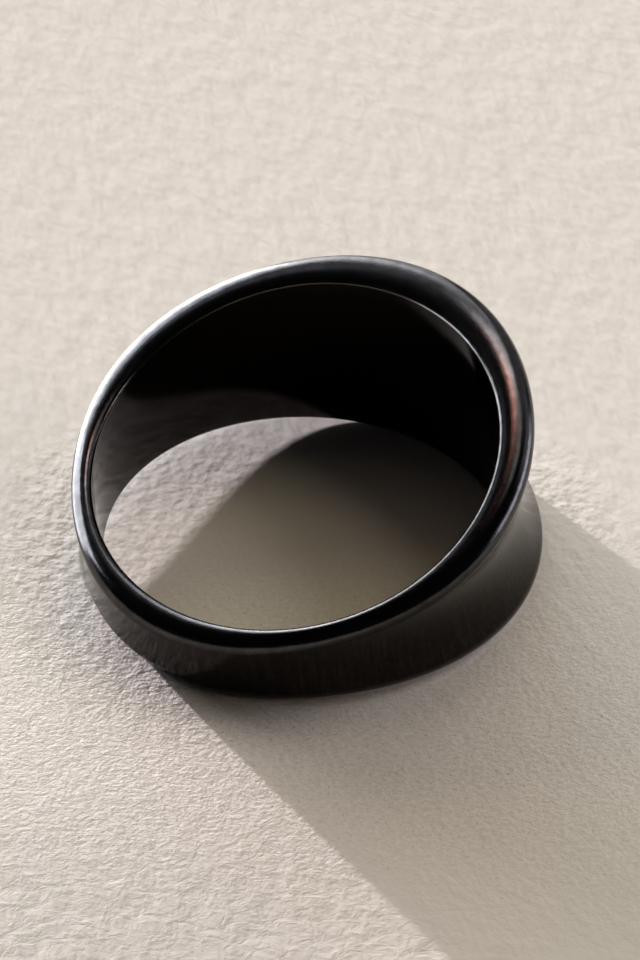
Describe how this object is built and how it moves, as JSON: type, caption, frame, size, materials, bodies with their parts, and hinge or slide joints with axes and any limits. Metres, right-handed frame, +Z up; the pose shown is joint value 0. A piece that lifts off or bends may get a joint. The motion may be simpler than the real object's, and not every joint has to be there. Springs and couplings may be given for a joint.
{
  "type": "pinky ring",
  "caption": "Pinky ring in blackened metal: a wide, hollowed front with rounded rims that tapers smoothly to a narrow shank.",
  "frame": {"origin": "under the middle of the band as it lies, on the surface that it lies on", "axes": "+X towards the wide face, +Z up; the finger hole's axis leans 9.6 degrees from +Z towards -X, because the ring lies on its lower rim"},
  "size_m": [0.0192, 0.018, 0.0088],
  "materials": {
    "blackened_metal": "blackened silver, satin on the outer wall and polished on the rims"
  },
  "bodies": {
    "root": {"band": "blackened_metal"}
  },
  "joints": []
}
